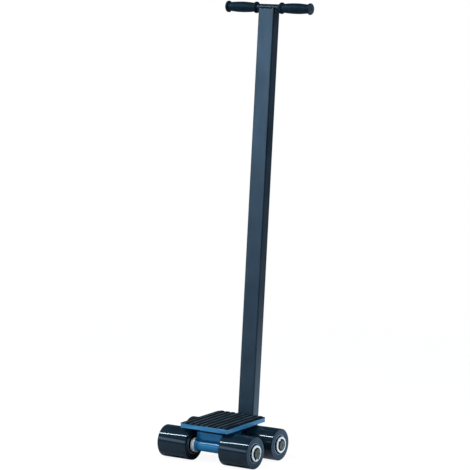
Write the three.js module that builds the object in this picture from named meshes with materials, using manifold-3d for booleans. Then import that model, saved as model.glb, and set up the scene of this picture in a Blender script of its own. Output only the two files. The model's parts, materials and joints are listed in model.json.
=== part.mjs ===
// Steerable load roller (machinery skate) with a folding drawbar.
// Frame: millimetres, +X along the axles, +Y from the load towards the drawbar, +Z up.
// The origin ends up on the floor under the middle of the object's bounding box.
// Pieces that touch on the real object keep a working gap of CLEARANCE between their faces.

import * as THREE from "three";
import { mergeVertices } from "three/addons/utils/BufferGeometryUtils.js";
import Module from "manifold-3d";

const wasm = await Module();
wasm.setup();

// ---- driving dimensions ----------------------------------------------------------------

const CLEARANCE = 0.3;
const EPSILON = 1;

// Facets round each kind of turned piece. A multiple of four on the roller puts a flat on the floor.
const FACETS = { roller: 32, large: 24, medium: 20, small: 16, hole: 24, outline: 8 };

const ROLLER = { radius: 42.5, inner: 52, outer: 142, chamfer: 1.5, webRadius: 21 };
const WHEELBASE = 120;
const AXLE = { radius: 12.5, end: 149.5, chamfer: 1, grooveRadius: 11.95 };
const BEARING = { radius: 26, width: 15, ringWall: 3, bore: 12.8, sunk: 0.4 };
const INNER_COLLAR = { radius: 20, length: 10.7, spigot: 16 };
const OUTER_COLLAR = { radius: 21.5, face: 146.4, flange: 2.6, spigot: 16 };
const CIRCLIP = { outer: 15.6, thickness: 1.2, gapAngle: 0.5, lug: 1.8 };

const SIDE_PLATE = { outer: 40, thickness: 5, top: 78, nose: 17, edge: 63, belly: 30 };
const AXLE_TUBE = { radius: 15.5 };
const CROSS_PLATE = { thickness: 6 };
const BOLSTER = { thickness: 8 };
const BOSS = { radius: 23, bottom: 44 };
const KING_PIN = { radius: 15, bottom: 37.5, grooveRadius: 14.2 };
const BUSH_WALL = 1.8;

const RACE = { outer: 34, inner: 17.8, lower: 3, upper: 2.9 };
const BALL = { radius: 2.5, count: 10, circle: 26 };
const CAGE = { thickness: 2, inner: 21, outer: 31 };

const LOAD_PLATE = { width: 150, depth: 180, bottom: 90, top: 101.7 };
const PAD = { top: 105, base: 1.4, ribs: 8, pitch: 17.6, ribWidth: 11.6, shoulder: 0.8 };

const PIVOT = { y: 117, z: 45 };
const LEAN = THREE.MathUtils.degToRad(5.3);
const POLE = { width: 50, depth: 30, wall: 2, corner: 4, below: 18, above: 1143.1 };
const SLEEVE = { radius: 13 };
const FRICTION_WASHER = { radius: 14, thickness: 2 };
const LUG_RADIUS = 17;
const BOLT = { radius: 8, head: 24, headHeight: 10, nutHeight: 13, end: 57 };
const STOP = { radius: 6, y: 97.8, z: 70 };

const CROSSBAR = { radius: 10, wall: 2.5, end: 127, proud: 2.6 };
const GRIP = { inner: 36.5, end: 133, flange: 15.7, flangeLength: 6.5, neck: 11.6, belly: 14.3, vent: 2 };

const AXLE_Z = ROLLER.radius;
const AXLE_Y = { front: -WHEELBASE / 2, rear: WHEELBASE / 2 };
const PLATE_INNER = SIDE_PLATE.outer - SIDE_PLATE.thickness;
const BETWEEN_PLATES = PLATE_INNER - CLEARANCE;
const PIN_BORE = KING_PIN.radius + CLEARANCE;
const BUSH_OUTER = PIN_BORE + BUSH_WALL;
const BUSH_BORE = BUSH_OUTER + CLEARANCE;

// ---- finishes --------------------------------------------------------------------------

const finish = (color, roughness, metalness) =>
  new THREE.MeshStandardMaterial({ color, roughness, metalness });

const FINISH = {
  nylon: finish(0x24323f, 0.45, 0),
  blue: finish(0x2f6f9e, 0.35, 0.1),
  black: finish(0x2c3b4a, 0.4, 0.2),
  zinc: finish(0xd6dde2, 0.3, 0.9),
  steel: finish(0x8b9298, 0.4, 0.9),
  bearing: finish(0xaab2b8, 0.25, 1),
  darkSteel: finish(0x23262b, 0.5, 0.7),
  bronze: finish(0x9a6b34, 0.4, 0.8),
  rubber: finish(0x262f38, 0.8, 0),
  grip: finish(0x1b2733, 0.7, 0),
};

// ---- building blocks -------------------------------------------------------------------

// A closed BufferGeometry as a manifold solid.
function solidOf(geometry) {
  const bare = geometry.clone();
  bare.deleteAttribute("normal");
  bare.deleteAttribute("uv");
  const merged = mergeVertices(bare, 1e-4);
  const triVerts = new Uint32Array(merged.index.array);
  return new wasm.Manifold(
    new wasm.Mesh({ numProp: 3, vertProperties: merged.attributes.position.array, triVerts }),
  );
}

// A manifold solid as a BufferGeometry.
function geometryOf(solid) {
  const mesh = solid.getMesh();
  const geometry = new THREE.BufferGeometry();
  geometry.setAttribute("position", new THREE.BufferAttribute(mesh.vertProperties, 3));
  geometry.setIndex(new THREE.BufferAttribute(mesh.triVerts, 1));
  geometry.computeVertexNormals();
  return geometry;
}

const subtract = (base, ...tools) =>
  geometryOf(tools.reduce((left, tool) => left.subtract(solidOf(tool)), solidOf(base)));

const unite = (first, ...others) =>
  geometryOf(others.reduce((sum, other) => sum.add(solidOf(other)), solidOf(first)));

// A solid of revolution about Z from [radius, height] points, listed so that the outside is on
// the left of the path: up the outer wall and down the inner one.
function turned(points, segments, start = 0) {
  const profile = points.map(([radius, height]) => new THREE.Vector2(radius, height));
  return new THREE.LatheGeometry(profile, segments, start).rotateX(Math.PI / 2);
}

// The same, about X.
const turnedX = (points, segments, start) => turned(points, segments, start).rotateY(Math.PI / 2);

// A plain ring about Z.
function ring(inner, outer, low, high, segments) {
  const points = [[inner, low], [outer, low], [outer, high], [inner, high], [inner, low]];
  return turned(points, segments);
}

// A solid cylinder along X between two stations.
function rodX(radius, from, to, segments) {
  return turnedX([[0, from], [radius, from], [radius, to], [0, to]], segments);
}

// A tube along X between two stations.
const tubeX = (inner, outer, from, to, segments) =>
  ring(inner, outer, from, to, segments).rotateY(Math.PI / 2);

// A box from its lowest and highest corners.
function block([x0, y0, z0], [x1, y1, z1]) {
  const box = new THREE.BoxGeometry(x1 - x0, y1 - y0, z1 - z0);
  return box.translate((x0 + x1) / 2, (y0 + y1) / 2, (z0 + z1) / 2);
}

// A sharp-cornered rectangle, centred on the origin.
function rectangle(width, height) {
  const [w, h] = [width / 2, height / 2];
  return new THREE.Shape([
    new THREE.Vector2(w, h),
    new THREE.Vector2(-w, h),
    new THREE.Vector2(-w, -h),
    new THREE.Vector2(w, -h),
  ]);
}

// A rectangle with rounded corners, centred on the origin.
function roundedRectangle(width, height, radius) {
  const [w, h] = [width / 2 - radius, height / 2 - radius];
  const shape = new THREE.Shape();
  shape.absarc(w, h, radius, 0, Math.PI / 2);
  shape.absarc(-w, h, radius, Math.PI / 2, Math.PI);
  shape.absarc(-w, -h, radius, Math.PI, 1.5 * Math.PI);
  shape.absarc(w, -h, radius, 1.5 * Math.PI, 2 * Math.PI);
  shape.closePath();
  return shape;
}

function circleHole(shape, x, y, radius) {
  const corners = Array.from({ length: FACETS.hole }, (_, index) => {
    const angle = (-2 * Math.PI * index) / FACETS.hole;
    return new THREE.Vector2(x + radius * Math.cos(angle), y + radius * Math.sin(angle));
  });
  shape.holes.push(new THREE.Path(corners));
}

function extrude(shape, depth, curveSegments = FACETS.outline) {
  return new THREE.ExtrudeGeometry(shape, { depth, curveSegments, bevelEnabled: false });
}

// A hexagonal prism along X.
const hexX = (acrossFlats, from, to) => rodX(acrossFlats / Math.sqrt(3), from, to, 6);

function part(name, geometry, material) {
  const mesh = new THREE.Mesh(geometry, material);
  mesh.name = name;
  return mesh;
}

// ---- roller station: one roller with its bearings, collars and circlip ---------------------

// Solid nylon roller, with a bearing seat bored in from each face. The rim's flats are tangent to
// the rolling circle, and one of them rests on the floor.
function rollerGeometry() {
  const rim = ROLLER.radius / Math.cos(Math.PI / FACETS.roller);
  const seat = BEARING.radius + CLEARANCE;
  const depth = BEARING.width + BEARING.sunk + CLEARANCE;
  const points = [
    [seat, ROLLER.inner],
    [rim - ROLLER.chamfer, ROLLER.inner],
    [rim, ROLLER.inner + ROLLER.chamfer],
    [rim, ROLLER.outer - ROLLER.chamfer],
    [rim - ROLLER.chamfer, ROLLER.outer],
    [seat, ROLLER.outer],
    [seat, ROLLER.outer - depth],
    [ROLLER.webRadius, ROLLER.outer - depth],
    [ROLLER.webRadius, ROLLER.inner + depth],
    [seat, ROLLER.inner + depth],
    [seat, ROLLER.inner],
  ];
  return turnedX(points, FACETS.roller, Math.PI / FACETS.roller);
}

// Rings of a sealed deep-groove ball bearing. `from` is the bearing's face nearer the middle.
function bearingOuterGeometry(from) {
  return tubeX(BEARING.radius - BEARING.ringWall, BEARING.radius, from, from + BEARING.width, FACETS.medium);
}

function bearingInnerGeometry(from) {
  return tubeX(BEARING.bore, BEARING.bore + BEARING.ringWall, from, from + BEARING.width, FACETS.small);
}

// Stepped spacer between the side plate and the inboard bearing.
function innerCollarGeometry() {
  const start = SIDE_PLATE.outer + CLEARANCE;
  const step = start + INNER_COLLAR.length;
  const end = ROLLER.inner + BEARING.sunk - CLEARANCE;
  const points = [
    [BEARING.bore, start],
    [INNER_COLLAR.radius, start],
    [INNER_COLLAR.radius, step],
    [INNER_COLLAR.spigot, step],
    [INNER_COLLAR.spigot, end],
    [BEARING.bore, end],
    [BEARING.bore, start],
  ];
  return turnedX(points, FACETS.medium);
}

// Stepped retaining washer between the outboard bearing and the circlip.
function outerCollarGeometry() {
  const start = ROLLER.outer - BEARING.sunk + CLEARANCE;
  const step = OUTER_COLLAR.face - OUTER_COLLAR.flange;
  const points = [
    [BEARING.bore, start],
    [OUTER_COLLAR.spigot, start],
    [OUTER_COLLAR.spigot, step],
    [OUTER_COLLAR.radius, step],
    [OUTER_COLLAR.radius, OUTER_COLLAR.face],
    [BEARING.bore, OUTER_COLLAR.face],
    [BEARING.bore, start],
  ];
  return turnedX(points, FACETS.large);
}

// External circlip: an open ring about a gap on +X, with a lug on each side of the gap.
function circlipShape(innerRadius, outerRadius) {
  const gap = CIRCLIP.gapAngle / 2;
  const lugEnd = gap + 0.32;
  const tip = outerRadius + CIRCLIP.lug;
  const lineTo = (radius, angle) => shape.lineTo(radius * Math.cos(angle), radius * Math.sin(angle));
  const shape = new THREE.Shape();
  shape.absarc(0, 0, outerRadius, lugEnd, 2 * Math.PI - lugEnd);
  lineTo(tip, -lugEnd + 0.08);
  lineTo(tip, -gap);
  shape.absarc(0, 0, innerRadius, 2 * Math.PI - gap, gap, true);
  lineTo(tip, gap);
  lineTo(tip, lugEnd - 0.08);
  shape.closePath();
  return shape;
}

function circlipGeometry() {
  const inner = AXLE.grooveRadius + CLEARANCE;
  const clip = extrude(circlipShape(inner, CIRCLIP.outer), CIRCLIP.thickness, FACETS.small);
  return clip.rotateY(Math.PI / 2).translate(OUTER_COLLAR.face + CLEARANCE, 0, 0);
}

// One roller and everything that is threaded on its half of the axle. Right-hand stations stand
// as drawn, left-hand ones are turned half round; clipTurn is the direction of the circlip's gap.
function rollerStation(end, side, clipTurn) {
  const station = new THREE.Group();
  const name = (piece) => `${piece}_${end}_${side}`;
  const inboard = ROLLER.inner + BEARING.sunk;
  const outboard = ROLLER.outer - BEARING.sunk - BEARING.width;
  const clip = part(name("circlip"), circlipGeometry(), FINISH.darkSteel);
  clip.rotation.x = clipTurn;
  station.add(
    part(name("roller"), rollerGeometry(), FINISH.nylon),
    part(name("bearing_outer_ring_inboard"), bearingOuterGeometry(inboard), FINISH.bearing),
    part(name("bearing_outer_ring_outboard"), bearingOuterGeometry(outboard), FINISH.bearing),
    part(name("bearing_inner_ring_inboard"), bearingInnerGeometry(inboard), FINISH.bearing),
    part(name("bearing_inner_ring_outboard"), bearingInnerGeometry(outboard), FINISH.bearing),
    part(name("inner_collar"), innerCollarGeometry(), FINISH.zinc),
    part(name("outer_collar"), outerCollarGeometry(), FINISH.zinc),
    clip,
  );
  station.position.set(0, AXLE_Y[end], AXLE_Z);
  station.rotation.z = side === "left" ? Math.PI : 0;
  return station;
}

// Through axle for two rollers, with a circlip groove near each end.
function axleGeometry() {
  const grooveStart = OUTER_COLLAR.face;
  const grooveEnd = OUTER_COLLAR.face + CIRCLIP.thickness + 2 * CLEARANCE;
  const half = [
    [AXLE.radius, grooveStart],
    [AXLE.grooveRadius, grooveStart],
    [AXLE.grooveRadius, grooveEnd],
    [AXLE.radius, grooveEnd],
    [AXLE.radius, AXLE.end - AXLE.chamfer],
    [AXLE.radius - AXLE.chamfer, AXLE.end],
    [0, AXLE.end],
  ];
  const mirrored = half.map(([radius, x]) => [radius, -x]).reverse();
  return turnedX([...mirrored, ...half], FACETS.medium);
}

// ---- welded frame ----------------------------------------------------------------------

// Side plate: a round nose at each axle and a lug for the drawbar's pivot.
function sidePlateGeometry() {
  const { nose, edge, top, belly, thickness } = SIDE_PLATE;
  const noseTop = Math.acos((edge - AXLE_Y.rear) / nose);
  const shoulder = PIVOT.y - 2 * LUG_RADIUS + 12;
  const shape = new THREE.Shape();
  shape.moveTo(-edge, top);
  shape.absarc(AXLE_Y.front, AXLE_Z, nose, Math.PI - noseTop, 1.5 * Math.PI);
  shape.lineTo(AXLE_Y.front + nose, AXLE_Z - nose);
  shape.lineTo(AXLE_Y.front + 2 * nose, belly);
  shape.lineTo(AXLE_Y.rear - 2 * nose, belly);
  shape.lineTo(AXLE_Y.rear - nose, AXLE_Z - nose);
  shape.absarc(AXLE_Y.rear, AXLE_Z, nose, 1.5 * Math.PI, 1.6 * Math.PI);
  shape.absarc(PIVOT.y, PIVOT.z, LUG_RADIUS, 1.5 * Math.PI, 2.35 * Math.PI);
  shape.lineTo(shoulder, top);
  shape.closePath();
  for (const y of Object.values(AXLE_Y)) circleHole(shape, y, AXLE_Z, BEARING.bore);
  circleHole(shape, PIVOT.y, PIVOT.z, BOLT.radius + CLEARANCE);
  const plate = extrude(shape, thickness);
  return plate.rotateX(Math.PI / 2).rotateZ(Math.PI / 2).translate(PLATE_INNER, 0, 0);
}

function sidePlate(side) {
  const plate = part(`side_plate_${side}`, sidePlateGeometry(), FINISH.blue);
  if (side === "left") plate.position.x = -2 * PLATE_INNER - SIDE_PLATE.thickness;
  return plate;
}

// Tube round the axle between the side plates.
function axleTube(end) {
  const tube = tubeX(BEARING.bore, AXLE_TUBE.radius, -BETWEEN_PLATES, BETWEEN_PLATES, FACETS.large);
  const mesh = part(`axle_tube_${end}`, tube, FINISH.blue);
  mesh.position.set(0, AXLE_Y[end], AXLE_Z);
  return mesh;
}

// Upright plate over an axle tube, closing the end of the frame.
function crossPlate(end) {
  const outward = Math.sign(AXLE_Y[end]);
  const faces = [outward * SIDE_PLATE.edge, outward * (SIDE_PLATE.edge - CROSS_PLATE.thickness)];
  const bottom = AXLE_Z + AXLE_TUBE.radius + CLEARANCE;
  const low = [-BETWEEN_PLATES, Math.min(...faces), bottom];
  const high = [BETWEEN_PLATES, Math.max(...faces), SIDE_PLATE.top];
  return part(`cross_plate_${end}`, block(low, high), FINISH.blue);
}

// Thick plate that carries the turntable, bored for the king pin's bush.
function bolsterPlate() {
  const halfDepth = SIDE_PLATE.edge - CROSS_PLATE.thickness - CLEARANCE;
  const shape = rectangle(2 * BETWEEN_PLATES, 2 * halfDepth);
  circleHole(shape, 0, 0, BUSH_BORE);
  const plate = extrude(shape, BOLSTER.thickness).translate(0, 0, SIDE_PLATE.top - BOLSTER.thickness);
  return part("bolster_plate", plate, FINISH.blue);
}

// Boss welded under the bolster plate, round the bush.
function kingBoss() {
  const top = SIDE_PLATE.top - BOLSTER.thickness - CLEARANCE;
  return part("king_boss", ring(BUSH_BORE, BOSS.radius, BOSS.bottom, top, FACETS.large), FINISH.blue);
}

const kingBush = () =>
  part("king_bush", ring(PIN_BORE, BUSH_OUTER, BOSS.bottom, SIDE_PLATE.top, FACETS.large), FINISH.bronze);

// Round bar that the upright drawbar leans against.
function stopBar() {
  const rod = rodX(STOP.radius, -BETWEEN_PLATES, BETWEEN_PLATES, FACETS.small);
  const bar = part("drawbar_stop_bar", rod, FINISH.blue);
  bar.position.set(0, STOP.y, STOP.z);
  return bar;
}

// ---- turntable and load platform ---------------------------------------------------------

const raceLow = SIDE_PLATE.top + CLEARANCE;
const ballLow = raceLow + RACE.lower + CLEARANCE;
const ballMiddle = ballLow + BALL.radius;
const upperRaceLow = ballLow + 2 * BALL.radius + CLEARANCE;

function race(name, low, thickness) {
  return part(name, ring(RACE.inner, RACE.outer, low, low + thickness, FACETS.large), FINISH.darkSteel);
}

// Cage with its balls, in one piece.
function ballCage() {
  const low = ballMiddle - CAGE.thickness / 2;
  const cage = ring(CAGE.inner, CAGE.outer, low, low + CAGE.thickness, FACETS.large);
  const balls = Array.from({ length: BALL.count }, (_, index) => {
    const angle = (index * 2 * Math.PI) / BALL.count;
    const ball = new THREE.SphereGeometry(BALL.radius, 8, 6).rotateX(Math.PI / 2);
    return ball.translate(BALL.circle * Math.cos(angle), BALL.circle * Math.sin(angle), ballMiddle);
  });
  return part("turntable_ball_cage", unite(cage, ...balls), FINISH.bearing);
}

const kingClipTop = BOSS.bottom - CLEARANCE;
const kingClipLow = kingClipTop - CIRCLIP.thickness;

// King pin, welded in the load plate, with a circlip groove under the boss.
function kingPin() {
  const grooveLow = kingClipLow - CLEARANCE;
  const points = [
    [0, KING_PIN.bottom],
    [KING_PIN.radius - 1, KING_PIN.bottom],
    [KING_PIN.radius, KING_PIN.bottom + 1],
    [KING_PIN.radius, grooveLow],
    [KING_PIN.grooveRadius, grooveLow],
    [KING_PIN.grooveRadius, BOSS.bottom],
    [KING_PIN.radius, BOSS.bottom],
    [KING_PIN.radius, LOAD_PLATE.top],
    [0, LOAD_PLATE.top],
  ];
  return part("king_pin", turned(points, FACETS.medium), FINISH.steel);
}

function kingCirclip() {
  const shape = circlipShape(KING_PIN.grooveRadius + CLEARANCE, KING_PIN.radius + 4);
  const clip = extrude(shape, CIRCLIP.thickness, FACETS.small);
  return part("king_pin_circlip", clip.translate(0, 0, kingClipLow), FINISH.darkSteel);
}

function loadPlate() {
  const shape = rectangle(LOAD_PLATE.width, LOAD_PLATE.depth);
  circleHole(shape, 0, 0, KING_PIN.radius + CLEARANCE);
  const plate = extrude(shape, LOAD_PLATE.top - LOAD_PLATE.bottom).translate(0, 0, LOAD_PLATE.bottom);
  return part("load_plate", plate, FINISH.blue);
}

// Rubber mat with raised ribs along Y, drawn as a cross-section and extruded along Y.
function rubberPad() {
  const bottom = LOAD_PLATE.top + CLEARANCE;
  const valley = bottom + PAD.base;
  const edge = LOAD_PLATE.width / 2;
  const shape = new THREE.Shape();
  shape.moveTo(edge, bottom);
  shape.lineTo(edge, valley);
  for (let rib = PAD.ribs - 1; rib >= 0; rib -= 1) {
    const middle = (rib - (PAD.ribs - 1) / 2) * PAD.pitch;
    const half = PAD.ribWidth / 2;
    shape.lineTo(middle + half, valley);
    shape.lineTo(middle + half - PAD.shoulder, PAD.top);
    shape.lineTo(middle - half + PAD.shoulder, PAD.top);
    shape.lineTo(middle - half, valley);
  }
  shape.lineTo(-edge, valley);
  shape.lineTo(-edge, bottom);
  shape.closePath();
  const mat = extrude(shape, LOAD_PLATE.depth, 1).rotateX(Math.PI / 2).translate(0, LOAD_PLATE.depth / 2, 0);
  return part("rubber_pad", mat, FINISH.rubber);
}

// ---- drawbar, drawn about its pivot with the pole along Z -----------------------------------

const crossbarHeight = POLE.above + CROSSBAR.proud;

// Rectangular tube, open at both ends, with a cross hole at the pivot and a saddle at the top.
function drawbarTube() {
  const shape = roundedRectangle(POLE.width, POLE.depth, POLE.corner);
  const bore = roundedRectangle(
    POLE.width - 2 * POLE.wall,
    POLE.depth - 2 * POLE.wall,
    POLE.corner - POLE.wall,
  );
  shape.holes.push(bore);
  const length = POLE.below + POLE.above;
  const tube = extrude(shape, length, 4).translate(0, 0, -POLE.below);
  const across = POLE.width / 2 + EPSILON;
  const pivotHole = rodX(SLEEVE.radius + CLEARANCE, -across, across, FACETS.hole);
  const saddle = rodX(CROSSBAR.radius + CLEARANCE, -across, across, FACETS.hole);
  saddle.translate(0, 0, crossbarHeight);
  return part("drawbar_tube", subtract(tube, pivotHole, saddle), FINISH.black);
}

const washerInner = BETWEEN_PLATES - FRICTION_WASHER.thickness;

// Sleeve through the foot of the pole, running on the pivot bolt.
function pivotSleeve() {
  const end = washerInner - CLEARANCE;
  const sleeve = tubeX(BOLT.radius + CLEARANCE, SLEEVE.radius, -end, end, FACETS.medium);
  return part("drawbar_pivot_sleeve", sleeve, FINISH.steel);
}

function crossbar() {
  const { radius, wall, end } = CROSSBAR;
  const mesh = part("crossbar", tubeX(radius - wall, radius, -end, end, FACETS.medium), FINISH.black);
  mesh.position.z = crossbarHeight;
  return mesh;
}

// Moulded handle grip: a swollen barrel between two flanges, closed at the end but for a vent.
function gripGeometry() {
  const bore = CROSSBAR.radius + CLEARANCE;
  const { inner, end, flange, flangeLength, neck, belly, vent } = GRIP;
  const round = 3;
  const barrelStart = inner + flangeLength;
  const barrelEnd = end - flangeLength;
  const steps = 6;
  const barrel = Array.from({ length: steps + 1 }, (_, step) => {
    const along = step / steps;
    const radius = neck + (belly - neck) * Math.sin(Math.PI * along);
    return [radius, barrelStart + along * (barrelEnd - barrelStart)];
  });
  const points = [
    [bore, inner],
    [flange - round, inner],
    [flange, inner + round],
    [flange, barrelStart - round],
    [flange - round, barrelStart - 0.5],
    ...barrel,
    [flange - round, barrelEnd + 0.5],
    [flange, barrelEnd + round],
    [flange, end - round],
    [flange - round, end],
    [vent, end],
    [vent, CROSSBAR.end + CLEARANCE],
    [bore, CROSSBAR.end + CLEARANCE],
    [bore, inner],
  ];
  return turnedX(points, FACETS.large);
}

function grip(side) {
  const mesh = part(`grip_${side}`, gripGeometry(), FINISH.grip);
  mesh.position.z = crossbarHeight;
  mesh.rotation.z = side === "left" ? Math.PI : 0;
  return mesh;
}

function drawbar() {
  const bar = new THREE.Group();
  bar.add(drawbarTube(), pivotSleeve(), crossbar(), grip("left"), grip("right"));
  bar.position.set(0, PIVOT.y, PIVOT.z);
  bar.rotation.x = -LEAN;
  return bar;
}

// ---- drawbar pivot hardware, fixed to the frame ---------------------------------------------

// Hexagon bolt from the right, with its shank through both lugs.
function pivotBolt() {
  const seat = SIDE_PLATE.outer + CLEARANCE;
  const shank = rodX(BOLT.radius, -BOLT.end, seat + EPSILON, FACETS.medium);
  const bolt = unite(hexX(BOLT.head, seat, seat + BOLT.headHeight), shank);
  return part("drawbar_pivot_bolt", bolt, FINISH.zinc);
}

function pivotNut() {
  const seat = -SIDE_PLATE.outer - CLEARANCE;
  const bore = rodX(BOLT.radius + CLEARANCE, seat - BOLT.nutHeight - EPSILON, seat + EPSILON, FACETS.medium);
  const nut = subtract(hexX(BOLT.head, seat - BOLT.nutHeight, seat), bore);
  return part("drawbar_pivot_nut", nut, FINISH.zinc);
}

function frictionWasher(side) {
  const outward = side === "left" ? -1 : 1;
  const faces = [outward * washerInner, outward * BETWEEN_PLATES].sort((a, b) => a - b);
  const washer = tubeX(BOLT.radius + CLEARANCE, FRICTION_WASHER.radius, ...faces, FACETS.medium);
  return part(`friction_washer_${side}`, washer, FINISH.bronze);
}

function pivotHardware() {
  const group = new THREE.Group();
  group.add(pivotBolt(), pivotNut(), frictionWasher("left"), frictionWasher("right"));
  group.position.set(0, PIVOT.y, PIVOT.z);
  return group;
}

// ---- assembly --------------------------------------------------------------------------

function axle(end) {
  const mesh = part(`axle_${end}`, axleGeometry(), FINISH.steel);
  mesh.position.set(0, AXLE_Y[end], AXLE_Z);
  return mesh;
}

const chassis = new THREE.Group();
for (const end of ["front", "rear"]) {
  chassis.add(axle(end), axleTube(end), crossPlate(end));
}
chassis.add(
  rollerStation("front", "left", 2.2),
  rollerStation("front", "right", 0),
  rollerStation("rear", "left", 0.4),
  rollerStation("rear", "right", -2.62),
  sidePlate("left"),
  sidePlate("right"),
  bolsterPlate(),
  kingBoss(),
  kingBush(),
  stopBar(),
  race("turntable_lower_race", raceLow, RACE.lower),
  ballCage(),
  race("turntable_upper_race", upperRaceLow, RACE.upper),
  kingPin(),
  kingCirclip(),
  loadPlate(),
  rubberPad(),
  pivotHardware(),
  drawbar(),
);

// Shift the whole object so that its origin is on the floor under its middle.
const extent = new THREE.Box3().setFromObject(chassis, true);
const middle = extent.getCenter(new THREE.Vector3());
chassis.position.set(-middle.x, -middle.y, -extent.min.z);

const machinerySkate = new THREE.Group();
machinerySkate.add(chassis);

export default machinerySkate;
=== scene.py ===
"""Looks of a machinery skate with a folding drawbar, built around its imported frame."""

import json
import math

import bmesh
import bpy
from mathutils import Matrix, Vector, noise


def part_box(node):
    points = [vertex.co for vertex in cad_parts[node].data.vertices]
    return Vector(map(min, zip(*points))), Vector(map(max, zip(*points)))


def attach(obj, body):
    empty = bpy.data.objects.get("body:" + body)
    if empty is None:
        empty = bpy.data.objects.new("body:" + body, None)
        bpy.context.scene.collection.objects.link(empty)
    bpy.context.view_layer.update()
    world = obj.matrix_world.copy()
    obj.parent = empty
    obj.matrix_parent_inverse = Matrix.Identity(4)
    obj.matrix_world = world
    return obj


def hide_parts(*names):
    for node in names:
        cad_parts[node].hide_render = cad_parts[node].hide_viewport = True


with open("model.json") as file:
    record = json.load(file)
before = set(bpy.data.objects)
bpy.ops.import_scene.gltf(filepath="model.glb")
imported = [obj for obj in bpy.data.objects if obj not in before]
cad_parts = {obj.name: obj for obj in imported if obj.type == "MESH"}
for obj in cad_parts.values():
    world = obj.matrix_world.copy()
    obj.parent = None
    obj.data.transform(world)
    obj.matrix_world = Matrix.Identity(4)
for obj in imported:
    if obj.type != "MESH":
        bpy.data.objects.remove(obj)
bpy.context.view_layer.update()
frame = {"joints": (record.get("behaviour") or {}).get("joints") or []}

MM = 0.001
SIDES = ("left", "right")
SIGNS = {"left": -1, "right": 1}
ENDS = ("front", "rear")
JOINTS = {joint["name"]: joint for joint in frame["joints"]}
LEAN = math.radians(5.3)  # backward lean of the upright drawbar
PIVOT = Vector(JOINTS["drawbar_fold"]["pos_m"])
KING = Vector(JOINTS["platform_swivel"]["pos_m"])
AXLES = {end: Vector(JOINTS[f"roller_{end}_left_spin"]["pos_m"]) for end in ENDS}


# ---- camera, lights and stage ----------------------------

VIEW = {"azimuth": 33.63, "pitch": 8.22, "distance": 6.469, "lens": 189.1}
AIM = Vector((0.03837, KING.y, 0.60279))


def direction(azimuth, elevation):
    """Unit vector towards a viewer who stands that many degrees round from -Y and above the floor."""
    turn, rise = math.radians(azimuth), math.radians(elevation)
    return Vector((math.sin(turn) * math.cos(rise), -math.cos(turn) * math.cos(rise), math.sin(rise)))


def look_at(obj, target):
    obj.rotation_euler = (target - obj.location).to_track_quat("-Z", "Y").to_euler()


def show(obj):
    bpy.context.scene.collection.objects.link(obj)


def add_camera():
    data = bpy.data.cameras.new("camera")
    data.lens = VIEW["lens"]
    data.clip_end = 60
    camera = bpy.data.objects.new("camera", data)
    camera.location = AIM + VIEW["distance"] * direction(VIEW["azimuth"], VIEW["pitch"])
    look_at(camera, AIM)
    show(camera)
    bpy.context.scene.camera = camera


def area_light(name, azimuth, elevation, distance, target, size, power, colour=(1, 1, 1)):
    data = bpy.data.lights.new(name, "AREA")
    data.shape = "RECTANGLE"
    data.size, data.size_y = size
    data.energy = power
    data.color = colour
    lamp = bpy.data.objects.new(name, data)
    lamp.location = Vector(target) + distance * direction(azimuth, elevation)
    lamp.visible_camera = False
    look_at(lamp, Vector(target))
    show(lamp)
    return lamp


def add_lights():
    cool = (0.8, 0.92, 1.0)
    area_light("softbox", -34, 15, 5.0, (0, 0, 0.2), (2.6, 1.2), 21, (0.6, 0.8, 1.0))
    strip = area_light("strip", -54, 47, 3.5, (0, KING.y, 0.05), (4.2, 0.088), 100, cool)
    strip.rotation_euler = (math.radians(28.7), 0, 0)
    fills = [
        area_light("front_fill", -18, 9, 2.6, (0, 0, 0.1), (1.6, 0.5), 22, cool),
        area_light("side_fill", 98, 34, 2.4, (0, 0, 0.2), (0.8, 0.8), 40, cool),
    ]
    for lamp in fills:
        lamp.visible_glossy = False


def map_range(nodes, source, target=(0.0, 1.0), smooth=False):
    """A node that maps one (low, high) range onto another."""
    node = nodes.new("ShaderNodeMapRange")
    if smooth:
        node.interpolation_type = "SMOOTHSTEP"
    node.inputs["From Min"].default_value, node.inputs["From Max"].default_value = source
    node.inputs["To Min"].default_value, node.inputs["To Max"].default_value = target
    return node


# (height, from 0 straight down to 1 straight up, and brightness) of the studio
STUDIO_STOPS = ((0.0, 0.14), (0.42, 0.14), (0.5, 0.13), (0.58, 0.1), (0.75, 0.05), (1.0, 0.03))
STUDIO_TINT = (0.78, 0.9, 1.0)
DARK_QUARTER = direction(62, 0)  # the studio is unlit on this side


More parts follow.
